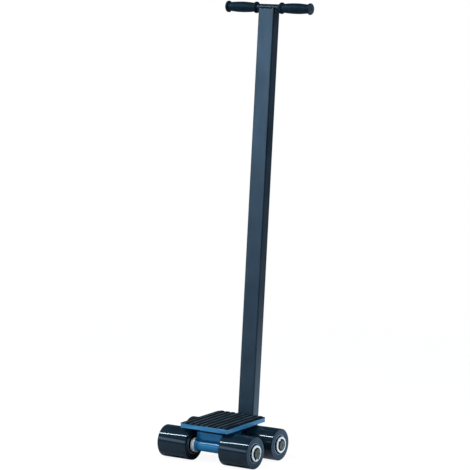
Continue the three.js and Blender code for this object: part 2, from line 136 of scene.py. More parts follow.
def add_world():
    """A dim studio, brighter low down, with one unlit side. The camera sees plain white instead."""
    world = bpy.data.worlds.new("studio")
    world.use_nodes = True
    nodes, links = world.node_tree.nodes, world.node_tree.links
    nodes.clear()
    place = nodes.new("ShaderNodeTexCoord")
    split = nodes.new("ShaderNodeSeparateXYZ")
    height = map_range(nodes, (-1, 1))
    ramp = nodes.new("ShaderNodeValToRGB")
    dark_side = nodes.new("ShaderNodeVectorMath")
    dark_side.operation = "DOT_PRODUCT"
    dark_side.inputs[1].default_value = DARK_QUARTER
    shade = map_range(nodes, (0.35, 0.85), (1.0, 0.08), smooth=True)
    studio, backdrop = nodes.new("ShaderNodeBackground"), nodes.new("ShaderNodeBackground")
    path = nodes.new("ShaderNodeLightPath")
    mix = nodes.new("ShaderNodeMixShader")
    out = nodes.new("ShaderNodeOutputWorld")
    while len(ramp.color_ramp.elements) < len(STUDIO_STOPS):
        ramp.color_ramp.elements.new(0.5)
    for element, (position, level) in zip(ramp.color_ramp.elements, STUDIO_STOPS):
        element.position = position
        element.color = (*(level * tint for tint in STUDIO_TINT), 1)
    backdrop.inputs["Color"].default_value = (1, 1, 1, 1)
    links.new(place.outputs["Generated"], split.inputs[0])
    links.new(split.outputs["Z"], height.inputs["Value"])
    links.new(height.outputs["Result"], ramp.inputs["Fac"])
    links.new(ramp.outputs["Color"], studio.inputs["Color"])
    links.new(place.outputs["Generated"], dark_side.inputs[0])
    links.new(dark_side.outputs["Value"], shade.inputs["Value"])
    links.new(shade.outputs["Result"], studio.inputs["Strength"])
    links.new(path.outputs["Is Camera Ray"], mix.inputs["Fac"])
    links.new(studio.outputs[0], mix.inputs[1])
    links.new(backdrop.outputs[0], mix.inputs[2])
    links.new(mix.outputs[0], out.inputs["Surface"])
    bpy.context.scene.world = world
    bpy.context.scene.view_settings.view_transform = "Standard"


FLOOR_RADIUS = 2.4


def matt(nodes, colour, glow_colour, glow):
    """A matt shader that gives off a little light of its own."""
    shader = nodes.new("ShaderNodeBsdfPrincipled")
    shader.inputs["Base Color"].default_value = (*colour, 1)
    shader.inputs["Roughness"].default_value = 0.9
    shader.inputs["Emission Color"].default_value = (*glow_colour, 1)
    shader.inputs["Emission Strength"].default_value = glow
    return shader


def add_floor():
    """A pale round floor that fades out at its rim. Rays other than the camera's see it darker."""
    mesh = bpy.data.meshes.new("floor")
    bm = bmesh.new()
    bmesh.ops.create_circle(bm, cap_ends=True, radius=FLOOR_RADIUS, segments=96)
    bm.to_mesh(mesh)
    bm.free()
    floor = bpy.data.objects.new("floor", mesh)
    show(floor)
    floor.location.z = -0.2 * MM
    material = bpy.data.materials.new("pale_floor")
    material.use_nodes = True
    nodes, links = material.node_tree.nodes, material.node_tree.links
    nodes.clear()
    place = nodes.new("ShaderNodeTexCoord")
    length = nodes.new("ShaderNodeVectorMath")
    length.operation = "LENGTH"
    fade = map_range(nodes, (1.0, FLOOR_RADIUS - 0.1), smooth=True)
    pale = matt(nodes, (0.12, 0.12, 0.12), (1, 1, 1), 0.93)
    muted = matt(nodes, (0.3, 0.32, 0.34), (0.85, 0.94, 1), 0)
    behind = nodes.new("ShaderNodeVectorMath")
    behind.operation = "DOT_PRODUCT"
    behind.inputs[1].default_value = -direction(-VIEW["azimuth"], 0)
    glow = map_range(nodes, (-0.05, 0.15), (0.0, 0.65))
    path = nodes.new("ShaderNodeLightPath")
    seen = nodes.new("ShaderNodeMixShader")
    clear = nodes.new("ShaderNodeBsdfTransparent")
    mix = nodes.new("ShaderNodeMixShader")
    out = nodes.new("ShaderNodeOutputMaterial")
    links.new(place.outputs["Object"], length.inputs[0])
    links.new(length.outputs["Value"], fade.inputs["Value"])
    links.new(fade.outputs["Result"], mix.inputs["Fac"])
    links.new(place.outputs["Object"], behind.inputs[0])
    links.new(behind.outputs["Value"], glow.inputs["Value"])
    links.new(glow.outputs["Result"], muted.inputs["Emission Strength"])
    links.new(path.outputs["Is Camera Ray"], seen.inputs["Fac"])
    links.new(muted.outputs[0], seen.inputs[1])
    links.new(pale.outputs[0], seen.inputs[2])
    links.new(seen.outputs[0], mix.inputs[1])
    links.new(clear.outputs[0], mix.inputs[2])
    links.new(mix.outputs[0], out.inputs["Surface"])
    mesh.materials.append(material)


# ---- materials -------------------------------------------

RIB_PITCH = 17.6 * MM  # of the load pad
DARK_TINT = (0.4, 0.64, 0.95)
BLUE_TINT = (0.6, 0.85, 1.0)


class Finish:
    """A material on the principled shader, with short calls for the textures that feed it."""

    def __init__(
        self, name, roughness, metallic=0.0, coat=0.0, coat_roughness=0.1, specular=0.5, tint=(1, 1, 1)
    ):
        self.material = bpy.data.materials.new(name)
        self.material.use_nodes = True
        self.nodes = self.material.node_tree.nodes
        self.links = self.material.node_tree.links
        self.shader = self.nodes["Principled BSDF"]
        self.set("Roughness", roughness)
        self.set("Metallic", metallic)
        self.set("Coat Weight", coat)
        self.set("Coat Roughness", coat_roughness)
        self.set("Specular IOR Level", specular)
        self.set("Specular Tint", (*tint, 1))
        self.place = self.nodes.new("ShaderNodeTexCoord").outputs["Object"]
        self.normal = None

    def set(self, socket, value):
        self.shader.inputs[socket].default_value = value

    def stretched(self, scale):
        mapping = self.nodes.new("ShaderNodeMapping")
        mapping.inputs["Scale"].default_value = scale
        self.links.new(self.place, mapping.inputs["Vector"])
        return mapping.outputs["Vector"]

    def noise(self, scale, detail=3.0, stretch=None):
        node = self.nodes.new("ShaderNodeTexNoise")
        node.inputs["Scale"].default_value = scale
        node.inputs["Detail"].default_value = detail
        self.links.new(self.stretched(stretch) if stretch else self.place, node.inputs["Vector"])
        return node.outputs["Fac"]

    def cells(self, scale):
        node = self.nodes.new("ShaderNodeTexVoronoi")
        node.inputs["Scale"].default_value = scale
        self.links.new(self.place, node.inputs["Vector"])
        return node.outputs["Distance"]

    def rings(self, scale, distortion=0.0):
        """Turning marks: circles about the piece's own X axis."""
        node = self.nodes.new("ShaderNodeTexWave")
        node.wave_type = "RINGS"
        node.rings_direction = "X"
        node.inputs["Scale"].default_value = scale
        node.inputs["Distortion"].default_value = distortion
        node.inputs["Detail"].default_value = 2.0
        self.links.new(self.place, node.inputs["Vector"])
        return node.outputs["Fac"]

    def bands(self, pitch):
        """Stripes across X: 0 at the middle of the piece and 1 half a pitch from it."""
        node = self.nodes.new("ShaderNodeTexWave")
        node.bands_direction = "X"
        node.inputs["Scale"].default_value = 2 * math.pi / (20 * pitch)
        self.links.new(self.place, node.inputs["Vector"])
        return node.outputs["Fac"]

    def product(self, one, two):
        node = self.nodes.new("ShaderNodeMath")
        node.operation = "MULTIPLY"
        self.links.new(one, node.inputs[0])
        self.links.new(two, node.inputs[1])
        return node.outputs[0]

    def spread(self, value, low, high):
        """The middle of a texture's range, spread from low to high."""
        node = map_range(self.nodes, (0.3, 0.7), (low, high))
        self.links.new(value, node.inputs["Value"])
        return node.outputs["Result"]

    def colour(self, value, dark, light, low=0.35, high=0.65):
        ramp = self.nodes.new("ShaderNodeValToRGB")
        ramp.color_ramp.elements[0].position = low
        ramp.color_ramp.elements[1].position = high
        ramp.color_ramp.elements[0].color = (*dark, 1)
        ramp.color_ramp.elements[1].color = (*light, 1)
        self.links.new(value, ramp.inputs["Fac"])
        self.links.new(ramp.outputs["Color"], self.shader.inputs["Base Color"])

    def roughness(self, value, low, high):
        self.links.new(self.spread(value, low, high), self.shader.inputs["Roughness"])

    def bump(self, value, height, strength=1.0):
        node = self.nodes.new("ShaderNodeBump")
        node.inputs["Distance"].default_value = height
        node.inputs["Strength"].default_value = strength
        self.links.new(value, node.inputs["Height"])
        if self.normal is not None:
            self.links.new(self.normal, node.inputs["Normal"])
        self.normal = node.outputs["Normal"]
        self.links.new(self.normal, self.shader.inputs["Normal"])


def nylon():
    finish = Finish(
        "nylon_rolling_face", 0.5, coat=0.95, coat_roughness=0.04, specular=0.06, tint=DARK_TINT
    )
    finish.colour(finish.noise(26, 4), (0.005, 0.0135, 0.0235), (0.008, 0.0205, 0.033))
    finish.roughness(finish.noise(60, 4, stretch=(0.5, 1, 1)), 0.42, 0.56)
    finish.bump(finish.noise(900, 2, stretch=(1, 0.15, 0.15)), 0.00004)
    finish.bump(finish.noise(45, 3), 0.0002, 0.12)
    return finish.material


def nylon_lit_face():
    # Lighter than the nylon body: partly the turned surface, partly painted light, as it goes only on
    # the outboard face and not on the inboard face, which is turned the same.
    finish = Finish("nylon_turned_lit_face", 0.46, tint=DARK_TINT)
    finish.colour(finish.noise(18, 3), (0.024, 0.042, 0.065), (0.034, 0.057, 0.085))
    finish.roughness(finish.noise(70, 3), 0.4, 0.52)
    finish.bump(finish.rings(190, 0.4), 0.00006, 0.6)
    finish.bump(finish.noise(240, 3), 0.00005, 0.5)
    return finish.material


def blue_enamel():
    finish = Finish("blue_enamel", 0.38, coat=1.0, coat_roughness=0.03, specular=0.1, tint=BLUE_TINT)
    finish.set("Coat IOR", 1.6)
    streaks = finish.noise(34, 4, stretch=(0.4, 0.4, 2.2))
    finish.colour(streaks, (0.003, 0.132, 0.292), (0.01, 0.178, 0.373))
    finish.roughness(finish.noise(120, 3), 0.28, 0.42)
    finish.bump(finish.noise(420, 2), 0.00005, 0.5)
    finish.bump(finish.noise(60, 2), 0.00025, 0.12)
    return finish.material


def plate_enamel():
    finish = Finish("plate_enamel", 0.36, coat=0.4, coat_roughness=0.08, tint=BLUE_TINT)
    streaks = finish.noise(60, 4, stretch=(0.35, 0.35, 2.6))
    finish.colour(streaks, (0.02, 0.165, 0.35), (0.07, 0.28, 0.5))
    finish.roughness(finish.noise(120, 3), 0.28, 0.44)
    finish.bump(finish.noise(420, 2), 0.00005, 0.5)
    return finish.material


def weld_enamel():
    finish = Finish("weld_enamel", 0.4, coat=0.1, coat_roughness=0.1, specular=0.3, tint=BLUE_TINT)
    finish.colour(finish.noise(160, 3), (0.008, 0.085, 0.21), (0.022, 0.16, 0.35))
    finish.bump(finish.noise(520, 3), 0.0002, 0.7)
    return finish.material


def painted_shadow_bead():
    # Matt near-black for the beads in the slot beside the crossbar: a painted shadow standing in for
    # the shade between the bar and the pole's walls.
    finish = Finish("painted_shadow_bead", 0.65, specular=0.2, tint=DARK_TINT)
    finish.colour(finish.noise(260, 3), (0.002, 0.003, 0.005), (0.005, 0.008, 0.012))
    finish.bump(finish.noise(700, 3), 0.0002, 0.8)
    return finish.material


def black_coat(name, ior):
    finish = Finish(name, 0.38, specular=0.9, tint=(0.55, 0.75, 0.95))
    finish.set("IOR", ior)
    finish.colour(finish.noise(13, 5), (0.002, 0.007, 0.013), (0.009, 0.017, 0.026))
    finish.roughness(finish.noise(30, 4, stretch=(1, 1, 0.25)), 0.3, 0.46)
    finish.bump(finish.noise(1400, 2), 0.00004, 0.7)
    finish.bump(finish.noise(40, 2), 0.0002, 0.2)
    return finish.material


def zinc():
    finish = Finish("zinc_plate", 0.34, metallic=0.04, specular=1.0)
    # Near-white diffuse colour with hardly any metal: the plating's bright reflection is painted into
    # its colour.
    finish.colour(finish.noise(90, 3), (0.93, 0.97, 0.98), (0.98, 1.0, 1.0))
    finish.roughness(finish.noise(200, 3), 0.22, 0.38)
    finish.bump(finish.rings(320, 0.2), 0.00003, 0.5)
    return finish.material


def axle_steel():
    finish = Finish("axle_steel", 0.45, metallic=0.85)
    finish.colour(finish.noise(140, 4), (0.12, 0.125, 0.125), (0.2, 0.2, 0.195))
    finish.roughness(finish.noise(160, 3), 0.36, 0.55)
    finish.bump(finish.rings(380, 0.6), 0.00004, 0.6)
    return finish.material


def bearing_steel():
    finish = Finish("bearing_steel", 0.26, metallic=0.3)
    # Light blue-grey with little metal, so the bare rim of the outer ring reads as a thin light line: a
    # painted highlight for the seat's edge catching the light.
    finish.colour(finish.noise(120, 2), (0.42, 0.56, 0.68), (0.6, 0.72, 0.84))
    finish.roughness(finish.noise(260, 2), 0.18, 0.3)
    return finish.material


def dark_steel():
    finish = Finish("phosphated_steel", 0.5, metallic=0.2, specular=0.1)
    finish.colour(finish.noise(210, 3), (0.002, 0.003, 0.004), (0.007, 0.008, 0.01))
    finish.roughness(finish.noise(300, 3), 0.34, 0.5)
    finish.bump(finish.noise(900, 2), 0.00003, 0.6)
    return finish.material


def bronze():
    finish = Finish("sintered_bronze", 0.4, metallic=1.0)
    finish.colour(finish.noise(260, 4), (0.26, 0.15, 0.06), (0.42, 0.26, 0.11))
    finish.roughness(finish.noise(200, 3), 0.35, 0.5)
    return finish.material


def pad_rubber():
    finish = Finish("pad_rubber", 0.6, specular=0.3, tint=DARK_TINT)
    # Lighter rib crowns, broken up by noise: partly wear, partly a painted highlight where the crowns
    # catch the light.
    wear_and_sheen = finish.spread(finish.noise(70, 4, stretch=(1, 0.3, 1)), 0.6, 1.1)
    crowns_worn_and_lit = finish.product(finish.bands(RIB_PITCH), wear_and_sheen)
    finish.colour(crowns_worn_and_lit, (0.003, 0.007, 0.011), (0.075, 0.098, 0.118), 0.5, 1.05)
    finish.roughness(finish.noise(140, 3), 0.48, 0.72)
    finish.bump(finish.noise(700, 3), 0.0001, 0.8)
    return finish.material


def grip_rubber():
    finish = Finish("grip_rubber", 0.55, specular=0.14, tint=DARK_TINT)
    finish.colour(finish.noise(60, 3), (0.004, 0.013, 0.021), (0.008, 0.02, 0.031))
    finish.roughness(finish.noise(110, 3), 0.42, 0.6)
    finish.bump(finish.cells(620), 0.00012, 0.7)
    return finish.material


def grip_lit_end():
    # A lighter copy of the grip rubber for the grips' end faces: painted light on the faces that look
    # out sideways, not a different moulding.
    finish = Finish("grip_lit_end_face", 0.6, specular=0.3, tint=DARK_TINT)
    finish.colour(finish.noise(90, 3), (0.02, 0.032, 0.044), (0.032, 0.047, 0.062))
    finish.bump(finish.noise(800, 2), 0.00008, 0.5)
    return finish.material


def seal_rubber():
    finish = Finish("seal_rubber", 0.6, specular=0.08, tint=DARK_TINT)
    finish.colour(finish.noise(200, 2), (0.002, 0.004, 0.009), (0.005, 0.009, 0.017))
    finish.bump(finish.rings(160), 0.0001, 0.5)
    return finish.material


# ---- mesh building ---------------------------------------


def rounded(corners, closed=True, steps=4):
    """(x, y, radius) corners as a path of (x, y) points, with an arc wherever the radius isn't 0."""
    path = []
    count = len(corners)
    for index, (x, y, radius) in enumerate(corners):
        here = Vector((x, y))
        at_end = not closed and index in (0, count - 1)
        if radius <= 0 or at_end:
            path.append(here)
            continue
        back = Vector(corners[index - 1][:2]) - here
        ahead = Vector(corners[(index + 1) % count][:2]) - here
        half = back.angle(ahead) / 2
        reach = min(radius / math.tan(half), 0.49 * back.length, 0.49 * ahead.length)
        bisector = (back.normalized() + ahead.normalized()).normalized()
        middle = here + bisector * reach / math.cos(half)
        start = here + back.normalized() * reach - middle
        end = here + ahead.normalized() * reach - middle
        turn = start.angle_signed(end)
        for step in range(steps + 1):
            arm = start.copy()
            arm.rotate(Matrix.Rotation(-turn * step / steps, 2))
            path.append(middle + arm)
    return path


def arc(centre, radius, start, end, steps):
    """Points on an arc, with the angles in degrees."""
    angles = [math.radians(start + (end - start) * step / steps) for step in range(steps + 1)]
    return [(centre[0] + radius * math.cos(a), centre[1] + radius * math.sin(a)) for a in angles]


def circle(centre, radius, steps=64):
    return arc(centre, radius, 0, 360, steps)[:-1]


def finished_mesh(bm, name, sharp=35):
    bmesh.ops.recalc_face_normals(bm, faces=bm.faces)
    mesh = bpy.data.meshes.new(name)
    bm.to_mesh(mesh)
    bm.free()
    for polygon in mesh.polygons:
        polygon.use_smooth = True
    mesh.set_sharp_from_angle(angle=math.radians(sharp))
    return mesh


def turned(name, path, closed=True, segments=96):
    """A mesh turned about X from a path of (x, radius) points. A closed path makes a ring."""
    bm = bmesh.new()
    rings = []
    for x, radius in path:
        if radius < 1e-6:
            rings.append([bm.verts.new((x, 0, 0))])
            continue
        angles = [2 * math.pi * step / segments for step in range(segments)]
        rings.append([bm.verts.new((x, radius * math.cos(a), radius * math.sin(a))) for a in angles])
    pairs = list(zip(rings, rings[1:]))
    if closed:
        pairs.append((rings[-1], rings[0]))
    for one, two in pairs:
        for step in range(segments):
            after = (step + 1) % segments
            near = [one[step % len(one)], one[after % len(one)]]
            far = [two[after % len(two)], two[step % len(two)]]
            bm.faces.new(list(dict.fromkeys(near + far)))
    return finished_mesh(bm, name)


def plate(name, outline, holes, thickness, bevel, segments=2):
    """A plate in the XY plane, from z 0 up to its thickness, with holes and eased edges."""
    bm = bmesh.new()
    edges = []
    for loop in (outline, *holes):
        corners = [bm.verts.new((x, y, 0)) for x, y in loop]
        edges += [bm.edges.new((corners[i - 1], corners[i])) for i in range(len(corners))]
    bmesh.ops.triangle_fill(bm, use_beauty=True, use_dissolve=False, edges=edges)
    raised = bmesh.ops.extrude_face_region(bm, geom=list(bm.faces))
    lifted = [item for item in raised["geom"] if isinstance(item, bmesh.types.BMVert)]
    bmesh.ops.translate(bm, vec=(0, 0, thickness), verts=lifted)
    bmesh.ops.recalc_face_normals(bm, faces=bm.faces)
    rims = [edge for edge in bm.edges if len(edge.link_faces) == 2 and edge.calc_face_angle() > 0.8]
    rims = [edge for edge in rims if abs(edge.verts[0].co.z - edge.verts[1].co.z) < 1e-6]
    bmesh.ops.bevel(bm, geom=rims, offset=bevel, segments=segments, profile=0.5, affect="EDGES")
    return finished_mesh(bm, name, 50)


def bead(name, path, radius, closed=False):
    """A weld bead along a path of 3-D points: a run of overlapping ripples, a little uneven."""
    points = [Vector(point) for point in path]
    if closed:
        points.append(points[0])
    pitch, sides = 0.55 * MM, 10
    line = [points[0]]
    for start, end in zip(points, points[1:]):
        count = max(1, round((end - start).length / pitch))
        line += [start.lerp(end, step / count) for step in range(1, count + 1)]
    if closed:
        line.pop()
    bm = bmesh.new()
    rings = []
    for index, point in enumerate(line):
        ahead = line[(index + 1) % len(line)] if closed else line[min(index + 1, len(line) - 1)]
        behind = line[index - 1] if closed else line[max(index - 1, 0)]
        along = (ahead - behind).normalized()
        side = along.orthogonal() if abs(along.x) > 0.9 else along.cross(Vector((1, 0, 0)))
        side.normalize()
        other = along.cross(side)
        ripple = 0.86 + 0.14 * abs(math.sin(math.pi * index / 4))
        swell = ripple + 0.22 * noise.noise(point * 260)
        taper = 1.0 if closed else min(1.0, 0.35 + min(index, len(line) - 1 - index) * 0.12)
        size = radius * swell * taper
        angles = [2 * math.pi * step / sides for step in range(sides)]
        spokes = [side * math.cos(a) + other * math.sin(a) for a in angles]
        rings.append([bm.verts.new(point + size * spoke) for spoke in spokes])
    pairs = list(zip(rings, rings[1:])) + ([(rings[-1], rings[0])] if closed else [])
    for one, two in pairs:
        for step in range(sides):
            after = (step + 1) % sides
            bm.faces.new((one[step], one[after], two[after], two[step]))
    if not closed:
        bm.faces.new(rings[0])
        bm.faces.new(rings[-1])
    return finished_mesh(bm, name, 80)


def add(name, mesh, body, slot, material, replaces=(), at=(0, 0, 0), rotation=(0, 0, 0)):
    """Puts a mesh in the scene as a finished piece of the object."""
    piece = bpy.data.objects.new(name, mesh)
    show(piece)
    piece.location = at
    piece.rotation_euler = rotation
    mesh.materials.append(material)
    if replaces:
        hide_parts(*replaces)
    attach(piece, body)
    return piece


def keep_flats_flat(piece):
    """Weights the normals by area, so that eased edges don't shade the flat faces."""
    modifier = piece.modifiers.new("weighted", "WEIGHTED_NORMAL")
    modifier.keep_sharp = True
    return piece


def span(node, axis):
    low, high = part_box(node)
    return low[axis], high[axis]


def radius_of(node):
    """Outer radius of a node that is turned about X."""
    low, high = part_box(node)
    return (high.z - low.z) / 2


# ---- rollers and what is threaded on the axles -----------

MAT = {
    "nylon": nylon(),
    "nylon_lit_face": nylon_lit_face(),
    "blue": blue_enamel(),
    "plate_blue": plate_enamel(),
    "weld": weld_enamel(),
    "black": black_coat("black_powder_coat", 1.74),
    "black_bar": black_coat("black_bar_coat", 1.32),
    "painted_shadow_bead": painted_shadow_bead(),
    "zinc": zinc(),
    "axle": axle_steel(),
    "bearing": bearing_steel(),
    "dark": dark_steel(),
    "bronze": bronze(),
    "pad": pad_rubber(),
    "grip": grip_rubber(),
    "grip_lit_end": grip_lit_end(),
    "seal": seal_rubber(),
}

SEAT = 26.1 * MM
BORE = 12.75 * MM
BEARING_WALL = 3 * MM
RIM = 1.1 * MM  # what the seal leaves bare of the outer ring's face


def roller_mesh(name, inner, outer, radius):
    """Nylon roller: rounded rims, chamfered bearing seats, stepped bore and a turned outboard face,
    lighter than the inboard one as painted light.
    """
    depth = 15.7 * MM
    web = 21 * MM
    half = [
        (outer - depth, web, 0),
        (outer - depth, SEAT, 0),
        (outer - 0.9 * MM, SEAT, 0),
        (outer, SEAT + 0.9 * MM, 0.2 * MM),
        (outer, radius, 1.5 * MM),
    ]
    middle = inner + outer
    other = [(middle - x, r, fillet) for x, r, fillet in reversed(half)]
    mesh = turned(name, rounded(half + other), segments=128)
    mesh.materials.append(MAT["nylon"])
    # Both end faces are the same turned nylon. Only the outboard face and seat get the lighter colour
    # (painted light); the inboard face keeps the darker body colour (painted shade).
    for polygon in mesh.polygons:
        lighter_face = polygon.normal.x > 0.9 or polygon.center.yz.length < SEAT + 1 * MM
        polygon.material_index = 1 if lighter_face and polygon.center.x > middle / 2 else 0
    return mesh


def seal_mesh(name, face, inward):
    """Moulded bearing seal, dished between the two rings. It looks out along -inward."""
    low, high = BORE + BEARING_WALL + 0.15 * MM, SEAT - RIM - 0.1 * MM
    profile = (
        (low, 0.5 * MM),
        (low + 1.2 * MM, 0.4 * MM),
        (low + 2 * MM, 1.0 * MM),
        (high - 1.6 * MM, 1.0 * MM),
        (high - 0.8 * MM, 0.4 * MM),
        (high, 0.5 * MM),
    )
    front = [(face + inward * depth, radius, 0.3 * MM) for radius, depth in profile]
    back = [(face + inward * 1.8 * MM, radius, 0) for radius in (high, low)]
    return turned(name, rounded(front + back))


def ring_mesh(name, start, end, inner, outer, ease):
    corners = [(start, inner, ease), (start, outer, ease), (end, outer, ease), (end, inner, ease)]
    return turned(name, rounded(corners))


def circlip_mesh(name, inner, outer, thickness, gap=0.5, lug=1.8 * MM):
    """External circlip in the YZ plane, open at the bottom, with a round hole in each lug."""
    half = math.degrees(gap / 2)
    lug_angle = half + 17
    body = arc((0, 0), outer, lug_angle, 360 - lug_angle, 64)
    tips = []
    for sign in (-1, 1):
        centre_angle = math.radians(sign * (half + 8))
        reach = (inner + outer) / 2 + 0.7 * MM
        tips.append((reach * math.cos(centre_angle), reach * math.sin(centre_angle)))
    low_lug = arc((0, 0), outer + lug, 360 - lug_angle + 4, 360 - half, 8)
    high_lug = arc((0, 0), outer + lug, half, lug_angle - 4, 8)
    inside = arc((0, 0), inner, 360 - half, half, 72)
    holes = [circle(tip, 1.0 * MM, 20) for tip in tips]
    mesh = plate(name, body + low_lug + inside + high_lug, holes, thickness, 0.12 * MM, 1)
    mesh.transform(Matrix.Rotation(math.pi / 2, 4, "Y"))
    return mesh


# where each circlip's gap points, in radians about its axle
CLIP_TURN = {
    ("front", "left"): 2.2,
    ("front", "right"): 0.0,
    ("rear", "left"): 0.4,
    ("rear", "right"): -2.62,
}


def build_station(end, side):
    """One roller with its bearings, seals, collars and circlip. Left-hand ones are turned round."""
    tag = f"_{end}_{side}"
    mirrored = side == "left"
    place = {"at": AXLES[end], "rotation": (0, 0, math.pi if mirrored else 0)}

    def reach(node):
        low, high = span(node + tag, 0)
        return (-high, -low) if mirrored else (low, high)

    moving = f"roller_set{tag}"
    inner, outer = reach("roller")
    radius = span(f"roller{tag}", 2)[1] - AXLES[end].z
    mesh = roller_mesh(f"roller{tag}", inner, outer, radius)
    add(f"fine_roller{tag}", mesh, moving, "nylon", MAT["nylon_lit_face"], [f"roller{tag}"], **place)
    for where, inward in (("inboard", 1), ("outboard", -1)):
        name = f"bearing_outer_ring_{where}{tag}"
        start, stop = reach(f"bearing_outer_ring_{where}")
        mesh = ring_mesh(name, start, stop, SEAT - RIM, SEAT - 0.05 * MM, 0.3 * MM)
        add(f"fine_{name}", mesh, moving, "bearing_steel", MAT["bearing"], [name], **place)
        name = f"bearing_inner_ring_{where}{tag}"
        mesh = ring_mesh(name, start, stop, BORE, BORE + BEARING_WALL, 0.4 * MM)
        add(f"fine_{name}", mesh, "frame", "bearing_steel", MAT["bearing"], [name], **place)
        face = start if inward > 0 else stop
        mesh = seal_mesh(f"seal_{where}{tag}", face, inward)
        add(f"bearing_seal_{where}{tag}", mesh, moving, "grip_rubber", MAT["seal"], **place)
    start, stop = reach("inner_collar")
    step = stop - 1.1 * MM
    corners = [
        (start, BORE, 0.3 * MM),
        (start, 20 * MM, 0.8 * MM),
        (step, 20 * MM, 0.8 * MM),
        (step, 16 * MM, 0.4 * MM),
        (stop, 16 * MM, 0.3 * MM),
        (stop, BORE, 0.2 * MM),
    ]
    name = f"inner_collar{tag}"
    add(f"fine_{name}", turned(name, rounded(corners)), "frame", "zinc", MAT["zinc"], [name], **place)
    start, stop = reach("outer_collar")
    step = stop - 2.6 * MM
    corners = [
        (start, BORE, 0),
        (start, 16 * MM, 0),
        (step, 16 * MM, 0.2 * MM),
        (step, 21.5 * MM, 0.4 * MM),
        (stop, 21.5 * MM, 0.6 * MM),
        (stop, BORE, 0.4 * MM),
    ]
    name = f"outer_collar{tag}"
    add(f"fine_{name}", turned(name, rounded(corners)), "frame", "zinc", MAT["zinc"], [name], **place)
    start, stop = reach("circlip")
    name = f"circlip{tag}"
    mesh = circlip_mesh(name, 12.2 * MM, 15.6 * MM, stop - start)
    mesh.transform(Matrix.Rotation(CLIP_TURN[end, side], 4, "X"))
    mesh.transform(Matrix.Translation((start, 0, 0)))
    add(f"fine_{name}", mesh, "frame", "dark_steel", MAT["dark"], [name], **place)


def build_axle(end):
    """Ground axle with a circlip groove and a centre-drilled end on each side."""
    name = f"axle_{end}"
    tip = span(name, 0)[1]
    radius = 12.5 * MM
    clip_low, clip_high = span(f"circlip_{end}_right", 0)
    half = [
        (clip_low - 0.1 * MM, radius, 0.1 * MM),
        (clip_low - 0.1 * MM, 11.9 * MM, 0),
        (clip_high + 0.1 * MM, 11.9 * MM, 0),
        (clip_high + 0.1 * MM, radius, 0.1 * MM),
        (tip - 0.8 * MM, radius, 0.2 * MM),
        (tip, radius - 0.8 * MM, 0.3 * MM),
        (tip, 2.6 * MM, 0.2 * MM),
        (tip - 2.2 * MM, 1.0 * MM, 0),
        (tip - 5 * MM, 0.0, 0),
    ]
    other = [(-x, r, fillet) for x, r, fillet in reversed(half)]
    mesh = turned(name, rounded(other + half, closed=False), closed=False)
    add(f"fine_{name}", mesh, "frame", "axle_steel", MAT["axle"], [name], at=AXLES[end])


# ---- welded frame ----------------------------------------

# stands a mesh that was turned about X on the king pin's axis
UPRIGHT = {"at": (KING.x, KING.y, 0), "rotation": (0, -math.pi / 2, 0)}
BUSH_SEAT = 17.3 * MM
BOSS = 23 * MM
BOLSTER_SEAM = 69.8 * MM  # height of the welds under the bolster plate
NOSE = 17 * MM
TUBE = radius_of("axle_tube_front")
PLATE_TOP = span("side_plate_left", 2)[1]
WELD_GAP = span("cross_plate_front", 0)[1]
FRONT_EDGE = span("cross_plate_front", 1)[0]
REAR_EDGE = span("cross_plate_rear", 1)[1]


def side_outline():
    """Side plate in (y, z): a round nose at each axle and a lug round the drawbar's pivot."""
    front, rear = AXLES["front"], AXLES["rear"]
    nose_angle = math.degrees(math.acos((front.y - FRONT_EDGE) / NOSE))
    belly = 30 * MM
    path = [(FRONT_EDGE, PLATE_TOP)]
    path += arc((front.y, front.z), NOSE, 180 - nose_angle, 270, 28)
    path += [(front.y + NOSE, front.z - NOSE), (front.y + 2 * NOSE, belly)]
    path += [(rear.y - 2 * NOSE, belly), (rear.y - NOSE, rear.z - NOSE)]
    path += arc((rear.y, rear.z), NOSE, 270, 288, 5)
    path += arc((PIVOT.y, PIVOT.z), NOSE, 270, 423, 36)
    path += [(PIVOT.y - 2 * NOSE + 12 * MM, PLATE_TOP)]
    return path


def upright(mesh, x):
    """Stands a plate that was drawn in (y, z) up at that x."""
    stand = Matrix(((0, 0, 1, 0), (1, 0, 0, 0), (0, 1, 0, 0), (0, 0, 0, 1)))
    mesh.transform(Matrix.Translation((x, 0, 0)) @ stand)
    return mesh


def build_side_plates():
    holes = [circle((AXLES[end].y, AXLES[end].z), BORE) for end in ENDS]
    holes.append(circle((PIVOT.y, PIVOT.z), 8.3 * MM))
    for side in SIDES:
        name = f"side_plate_{side}"
        low, high = span(name, 0)
        mesh = upright(plate(name, side_outline(), holes, high - low, 0.5 * MM), low)
        keep_flats_flat(add(f"fine_{name}", mesh, "frame", "blue_paint", MAT["blue"], [name]))


def slab(name, corner, ease, hole=None, segments=2):
    """A rectangular plate that fills a node's box, with rounded corners and eased edges."""
    low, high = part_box(name)
    corners = [(low.x, low.y), (high.x, low.y), (high.x, high.y), (low.x, high.y)]
    outline = rounded([(x, y, corner) for x, y in corners], steps=3)
    mesh = plate(name, outline, [hole] if hole else [], high.z - low.z, ease, segments)
    mesh.transform(Matrix.Translation((0, 0, low.z)))
    return mesh


def build_cross_plates():
    for end in ENDS:
        name = f"cross_plate_{end}"
        mesh = slab(name, 0.5 * MM, 0.5 * MM)
        keep_flats_flat(add(f"fine_{name}", mesh, "frame", "blue_paint", MAT["blue"], [name]))


def build_axle_tubes():
    for end in ENDS:
        name = f"axle_tube_{end}"
        low, high = span(name, 0)
        mesh = ring_mesh(name, low, high, BORE, TUBE, 0.4 * MM)
        add(f"fine_{name}", mesh, "frame", "blue_paint", MAT["blue"], [name], at=AXLES[end])


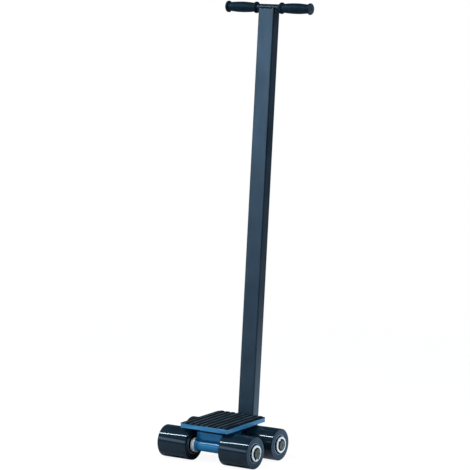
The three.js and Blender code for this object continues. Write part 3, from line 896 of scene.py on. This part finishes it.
def build_bolster():
    """Bolster plate, king boss and bush under the turntable."""
    node = "bolster_plate"
    mesh = slab(node, 0, 0.5 * MM, circle((KING.x, KING.y), BUSH_SEAT))
    keep_flats_flat(add(f"fine_{node}", mesh, "frame", "blue_paint", MAT["blue"], [node]))
    standing("king_boss", "frame", "blue_paint", MAT["blue"], BUSH_SEAT, BOSS, 0.8 * MM)
    standing("king_bush", "frame", "bronze", MAT["bronze"], 15.25 * MM, BUSH_SEAT - 0.2 * MM, 0.4 * MM)


def standing(node, body, slot, material, inner, outer, ease):
    """A ring about the king pin that takes the place of a node."""
    low, high = span(node, 2)
    mesh = ring_mesh(node, low, high, inner, outer, ease)
    add(f"fine_{node}", mesh, body, slot, material, [node], **UPRIGHT)


def build_stop_bar():
    low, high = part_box("drawbar_stop_bar")
    middle = (low + high) / 2
    radius = (high.z - low.z) / 2
    corners = [(low.x, 0, 0), (low.x, radius, 0.5 * MM), (high.x, radius, 0.5 * MM), (high.x, 0, 0)]
    mesh = turned("drawbar_stop_bar", rounded(corners, False), closed=False)
    place = (0, middle.y, middle.z)
    add("fine_stop_bar", mesh, "frame", "blue_paint", MAT["blue"], ["drawbar_stop_bar"], place)
    return middle, radius


def build_welds(stop_middle, stop_radius):
    """Beads along the frame's joints."""
    edge = WELD_GAP - 0.5 * MM

    def weld(name, path, radius, closed=False):
        add(f"weld_{name}", bead(name, path, radius * MM, closed), "frame", "blue_paint", MAT["weld"])

    for end, face, outward in (("front", FRONT_EDGE, -1), ("rear", REAR_EDGE, 1)):
        axle = AXLES[end]
        seam = axle.z + TUBE + 0.2 * MM
        toe = face - outward * 0.4 * MM
        weld(f"panel_{end}", [(-edge, toe, seam), (edge, toe, seam)], 1.5)
        inner_face = face - outward * 6.2 * MM
        run = [(-edge, inner_face, BOLSTER_SEAM), (edge, inner_face, BOLSTER_SEAM)]
        weld(f"bolster_{end}", run, 1.6)
        for side, sign in SIGNS.items():
            x = sign * WELD_GAP
            ring = [(x, axle.y + y, axle.z + z) for y, z in circle((0, 0), TUBE + 0.3 * MM, 48)]
            weld(f"tube_{end}_{side}", ring, 1.3, True)
            corner = face - outward * 6.3 * MM
            weld(f"corner_{end}_{side}", [(x, corner, 62 * MM), (x, corner, 69 * MM)], 1.2)
    boss = [(KING.x + x, KING.y + y, BOLSTER_SEAM) for x, y in circle((0, 0), BOSS + 0.2 * MM, 64)]
    weld("boss", boss, 1.7, True)
    for side, sign in SIGNS.items():
        x = sign * WELD_GAP
        outline = circle((stop_middle.y, stop_middle.z), stop_radius + 0.2 * MM, 32)
        weld(f"stop_bar_{side}", [(x, y, z) for y, z in outline], 1.1, True)
        half = 46 * MM
        run = [(x, KING.y - half, BOLSTER_SEAM), (x, KING.y + half, BOLSTER_SEAM)]
        weld(f"bolster_side_{side}", run, 1.3)


# ---- turntable and platform ------------------------------


def build_turntable():
    """Two plain races with a cage of ten balls between them, and the king pin with its circlip."""
    for node, body in (("turntable_lower_race", "frame"), ("turntable_upper_race", "platform")):
        standing(node, body, "dark_steel", MAT["dark"], 17.8 * MM, 34 * MM, 0.5 * MM)
    low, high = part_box("turntable_ball_cage")
    middle = (low.z + high.z) / 2
    cage = ring_mesh("ball_cage_ring", middle - 1 * MM, middle + 1 * MM, 21 * MM, 31 * MM, 0.3 * MM)
    node = "turntable_ball_cage"
    add("fine_ball_cage", cage, "ball_cage", "bearing_steel", MAT["bronze"], [node], **UPRIGHT)
    bm = bmesh.new()
    for x, y in circle((0, 0), 26 * MM, 10):
        spot = Matrix.Translation((x, y, middle))
        bmesh.ops.create_icosphere(bm, subdivisions=3, radius=(high.z - low.z) / 2, matrix=spot)
    balls = finished_mesh(bm, "turntable_balls", 80)
    add("turntable_balls", balls, "ball_cage", "bearing_steel", MAT["bearing"], at=(KING.x, KING.y, 0))
    low, high = span("king_pin", 2)
    radius = 15 * MM
    clip_low, clip_high = span("king_pin_circlip", 2)
    corners = [
        (low, 0, 0),
        (low, radius - 1.2 * MM, 0.3 * MM),
        (low + 1.2 * MM, radius, 0.4 * MM),
        (clip_low - 0.2 * MM, radius, 0.1 * MM),
        (clip_low - 0.2 * MM, 14.1 * MM, 0),
        (clip_high + 0.2 * MM, 14.1 * MM, 0),
        (clip_high + 0.2 * MM, radius, 0.1 * MM),
        (high, radius, 0.3 * MM),
        (high, 0, 0),
    ]
    pin = turned("king_pin", rounded(corners, False), closed=False)
    add("fine_king_pin", pin, "platform", "axle_steel", MAT["axle"], ["king_pin"], **UPRIGHT)
    clip = circlip_mesh("king_pin_circlip", 14.45 * MM, 19 * MM, clip_high - clip_low)
    clip.transform(Matrix.Translation((clip_low, 0, 0)))
    node = "king_pin_circlip"
    add(f"fine_{node}", clip, "platform", "dark_steel", MAT["dark"], [node], **UPRIGHT)


def build_platform():
    mesh = slab("load_plate", 0.8 * MM, 1 * MM, circle((KING.x, KING.y), 15.3 * MM), 3)
    node = "load_plate"
    keep_flats_flat(add(f"fine_{node}", mesh, "platform", "blue_paint", MAT["plate_blue"], [node]))
    build_pad()


def build_pad():
    """Ribbed rubber mat: eight broad ribs with rounded shoulders, drawn across and run along Y."""
    low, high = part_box("rubber_pad")
    ribs, pitch, rib = 8, RIB_PITCH, 12.2 * MM
    valley = high.z - 1.5 * MM
    corners = [(low.x, low.z, 0.3 * MM), (low.x, valley, 0.5 * MM)]
    for index in range(ribs):
        middle = (index - (ribs - 1) / 2) * pitch
        corners += [
            (middle - rib / 2, valley, 0.5 * MM),
            (middle - rib / 2 + 0.8 * MM, high.z, 0.7 * MM),
            (middle + rib / 2 - 0.8 * MM, high.z, 0.7 * MM),
            (middle + rib / 2, valley, 0.5 * MM),
        ]
    corners += [(high.x, valley, 0.5 * MM), (high.x, low.z, 0.3 * MM)]
    mesh = plate("rubber_pad", rounded(corners, steps=3), [], high.y - low.y, 0.25 * MM)
    mesh.transform(Matrix.Translation((0, high.y, 0)) @ Matrix.Rotation(math.pi / 2, 4, "X"))
    keep_flats_flat(add("fine_rubber_pad", mesh, "platform", "pad_rubber", MAT["pad"], ["rubber_pad"]))


# ---- drawbar ---------------------------------------------

POLE = {"width": 50 * MM, "depth": 30 * MM, "wall": 2 * MM, "corner": 4 * MM, "below": 18 * MM}
CROSSBAR_RADIUS = 10 * MM
SLEEVE = 13 * MM  # outer radius of the pivot sleeve


def add_leaning(name, mesh, slot, material, replaces=()):
    """Adds a drawbar piece that was drawn upright about the pivot."""
    mesh.transform(Matrix.Rotation(-LEAN, 4, "X"))
    return add(name, mesh, "drawbar", slot, material, replaces, PIVOT)


def along_pole(point):
    """Height of a point of the row frame above the pivot, measured along the leaning pole."""
    arm = Vector(point) - PIVOT
    return arm.y * math.sin(LEAN) + arm.z * math.cos(LEAN)


def crossbar_height():
    low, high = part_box("crossbar")
    return along_pole((low + high) / 2)


def pole_length():
    """Top of the pole above the pivot, from the highest corner of its front face."""
    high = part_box("drawbar_tube")[1]
    front_top = high.z - PIVOT.z - POLE["depth"] / 2 * math.sin(LEAN)
    return front_top / math.cos(LEAN)


def section(width, depth, corner):
    w, d = width / 2, depth / 2
    return rounded([(-w, -d, corner), (w, -d, corner), (w, d, corner), (-w, d, corner)], steps=8)


def cutter(name, radius, height):
    """A round bar across the pole that a boolean takes away. It isn't shown."""
    reach = POLE["width"]
    path = [(-reach, 0), (-reach, radius), (reach, radius), (reach, 0)]
    mesh = turned(name, path, closed=False, segments=72)
    mesh.transform(Matrix.Translation((0, 0, height)))
    tool = bpy.data.objects.new(name, mesh)
    show(tool)
    return tool


def cut(piece, tool):
    modifier = piece.modifiers.new("cut", "BOOLEAN")
    modifier.object = tool
    modifier.operation = "DIFFERENCE"
    modifier.solver = "EXACT"


def build_pole():
    """Rectangular tube, open at both ends, with the crossbar's saddle and the pivot's hole cut out."""
    top = pole_length()
    wall = POLE["wall"]
    outer = section(POLE["width"], POLE["depth"], POLE["corner"])
    bore = section(POLE["width"] - 2 * wall, POLE["depth"] - 2 * wall, POLE["corner"] - wall)
    mesh = plate("drawbar_tube", outer, [bore], top + POLE["below"], 0.3 * MM)
    mesh.transform(Matrix.Translation((0, 0, -POLE["below"])))
    draft = bpy.data.objects.new("pole_draft", mesh)
    show(draft)
    saddle = cutter("saddle", CROSSBAR_RADIUS + 0.2 * MM, crossbar_height())
    tools = [saddle, cutter("pivot_hole", SLEEVE + 0.2 * MM, 0)]
    for tool in tools:
        cut(draft, tool)
    bpy.context.view_layer.update()
    shaped = bpy.data.meshes.new_from_object(draft.evaluated_get(bpy.context.evaluated_depsgraph_get()))
    shaped.name = "drawbar_tube"
    for obj in (draft, *tools):
        bpy.data.objects.remove(obj)
    for polygon in shaped.polygons:
        polygon.use_smooth = True
    shaped.set_sharp_from_angle(angle=math.radians(40))
    shaped.materials.clear()
    tube = add_leaning("fine_drawbar_tube", shaped, "black_paint", MAT["black"], ["drawbar_tube"])
    keep_flats_flat(tube)


def build_crossbar():
    height = crossbar_height()
    end = span("crossbar", 0)[1]
    mesh = ring_mesh("crossbar", -end, end, 7.5 * MM, CROSSBAR_RADIUS, 0.4 * MM)
    mesh.transform(Matrix.Translation((0, 0, height)))
    add_leaning("fine_crossbar", mesh, "black_paint", MAT["black_bar"], ["crossbar"])
    for side, sign in SIGNS.items():
        x = sign * (POLE["width"] / 2 + 0.1 * MM)
        saddle = [(x, y, height + z) for y, z in arc((0, 0), CROSSBAR_RADIUS + 0.1 * MM, 165, 375, 40)]
        name = f"weld_crossbar_{side}"
        add_leaning(name, bead(name, saddle, 1.3 * MM), "black_paint", MAT["black"])
    top = pole_length()
    # These dark beads run inside the front and back walls, in the slot beside the crossbar. They are
    # painted shadow standing in for the shade in that gap, though they are named as welds.
    for side, sign in (("front", -1), ("back", 1)):
        y = sign * (POLE["depth"] / 2 - POLE["wall"] - 1.1 * MM)
        seam = [(-23 * MM, y, top + 1.5 * MM), (23 * MM, y, top + 1.5 * MM)]
        name = f"weld_crossbar_{side}"
        add_leaning(name, bead(name, seam, 2.3 * MM), "black_paint", MAT["painted_shadow_bead"])


def grip_path(inner, end, flange):
    """Half section of a hand grip: two rolled flanges, and a barrel that swells in the middle."""
    flange_length = 6.5 * MM
    neck, belly, bore = 11.7 * MM, 14.3 * MM, CROSSBAR_RADIUS + 0.1 * MM
    vent, cap = 1.9 * MM, 5.5 * MM
    start, stop = inner + flange_length, end - flange_length
    path = rounded(
        [
            (inner, bore, 0),
            (inner, flange, 2.6 * MM),
            (start, flange, 3 * MM),
            (start + 0.4 * MM, neck, 1.2 * MM),
            (start + 3 * MM, neck, 0),
        ],
        closed=False,
        steps=8,
    )
    steps = 60
    for step in range(1, steps):
        along = step / steps
        swell = neck + (belly - neck) * math.sin(math.pi * along) ** 0.8
        groove = 0.22 * MM * max(0.0, math.cos(2 * math.pi * along * 9)) ** 6
        path.append(Vector((start + 3 * MM + along * (stop - start - 6 * MM), swell - groove)))
    path += rounded(
        [
            (stop - 3 * MM, neck, 0),
            (stop - 0.4 * MM, neck, 1.2 * MM),
            (stop, flange, 3 * MM),
            (end, flange, 3.2 * MM),
            (end, vent, 0.5 * MM),
            (end - cap, vent, 0),
            (end - cap, bore, 0),
        ],
        closed=False,
        steps=8,
    )
    return path


def build_grips():
    height = crossbar_height()
    low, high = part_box("grip_right")
    flange = (high.z - low.z) / 2 * 0.995
    for side in SIDES:
        mesh = turned(f"grip_{side}", grip_path(low.x, high.x, flange), segments=112)
        # The end faces take the lighter copy of the grip rubber: painted light.
        for polygon in mesh.polygons:
            end_face = polygon.center.x > high.x - 2 * MM and polygon.normal.x > 0.6
            polygon.material_index = 1 if end_face else 0
        if side == "left":
            mesh.transform(Matrix.Rotation(math.pi, 4, "Z"))
        mesh.transform(Matrix.Translation((0, 0, height)))
        piece = add_leaning(f"fine_grip_{side}", mesh, "grip_rubber", MAT["grip"], [f"grip_{side}"])
        piece.data.materials.append(MAT["grip_lit_end"])


# ---- drawbar pivot ---------------------------------------


def hex_mesh(name, start, end, across, bore=0.0):
    """Hexagon head or nut along X, with its corners turned down on the outer face."""
    segments = 96
    outward = 1 if end > start else -1
    rim = across / 2 * 0.95

    def corner_radius(angle):
        return across / 2 / math.cos((angle % (math.pi / 3)) - math.pi / 6)

    bm = bmesh.new()
    rings = [[], [], []]
    for step in range(segments):
        angle = 2 * math.pi * step / segments
        radius = corner_radius(angle)
        drop = max(0.0, (radius - rim) * math.tan(math.radians(30)))
        spots = ((start, radius), (end - outward * drop, radius), (end, rim))
        for ring, (x, r) in zip(rings, spots):
            ring.append(bm.verts.new((x, r * math.cos(angle), r * math.sin(angle))))
    if bore:
        for x in (end, start):
            rings.append([bm.verts.new((x, y, z)) for y, z in circle((0, 0), bore, segments)])
        rings.append(rings[0])
    else:
        bm.faces.new(rings[0])
        bm.faces.new(rings[2])
    for one, two in zip(rings, rings[1:]):
        for step in range(segments):
            after = (step + 1) % segments
            bm.faces.new((one[step], one[after], two[after], two[step]))
    return finished_mesh(bm, name, 25)


def thread_path(start, end, radius, pitch=2 * MM):
    """Threaded length as a run of V grooves."""
    count = int(abs(end - start) / pitch)
    sign = 1 if end > start else -1
    path = []
    for index in range(count):
        x = start + sign * index * pitch
        path += [Vector((x, radius)), Vector((x + sign * pitch / 2, radius - 0.9 * MM))]
    return path


def build_pivot():
    low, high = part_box("drawbar_pivot_bolt")
    across = high.z - low.z
    seat = span("side_plate_right", 0)[1] + 0.3 * MM
    nut_low, nut_high = span("drawbar_pivot_nut", 0)
    shank = 8 * MM
    head = hex_mesh("bolt_head", seat, high.x, across)
    add("pivot_bolt_head", head, "frame", "zinc", MAT["zinc"], ["drawbar_pivot_bolt"], at=PIVOT)
    under_head = seat + 1 * MM
    path = [Vector((under_head, 0)), Vector((under_head, shank)), Vector((nut_high + 4 * MM, shank))]
    path += thread_path(nut_high + 3.9 * MM, low.x + 1.5 * MM, shank)
    path += [Vector((low.x, shank - 1.4 * MM)), Vector((low.x, 0))]
    add("pivot_bolt_shank", turned("shank", path, closed=False), "frame", "zinc", MAT["zinc"], at=PIVOT)
    nut = hex_mesh("pivot_nut", nut_high, nut_low, across, shank + 0.2 * MM)
    add("fine_pivot_nut", nut, "frame", "zinc", MAT["zinc"], ["drawbar_pivot_nut"], at=PIVOT)
    for side in SIDES:
        name = f"friction_washer_{side}"
        start, stop = span(name, 0)
        mesh = ring_mesh(name, start, stop, shank + 0.2 * MM, radius_of(name), 0.2 * MM)
        add(f"fine_{name}", mesh, "frame", "bronze", MAT["bronze"], [name], at=PIVOT)
    start, stop = span("drawbar_pivot_sleeve", 0)
    mesh = ring_mesh("pivot_sleeve", start, stop, shank + 0.2 * MM, SLEEVE, 0.5 * MM)
    add_leaning("fine_pivot_sleeve", mesh, "axle_steel", MAT["axle"], ["drawbar_pivot_sleeve"])
    for side, sign in SIGNS.items():
        x = sign * (POLE["width"] / 2 + 0.2 * MM)
        ring = [(x, y, z) for y, z in circle((0, 0), SLEEVE + 0.4 * MM, 48)]
        name = f"weld_sleeve_{side}"
        add_leaning(name, bead(name, ring, 1.2 * MM, True), "black_paint", MAT["black"])


# ---- the scene -------------------------------------------

add_camera()
add_lights()
add_world()
add_floor()
for end in ENDS:
    build_axle(end)
    for side in SIDES:
        build_station(end, side)
build_side_plates()
build_cross_plates()
build_axle_tubes()
build_bolster()
build_welds(*build_stop_bar())
build_turntable()
build_platform()
build_pole()
build_crossbar()
build_grips()
build_pivot()


bpy.context.view_layer.update()
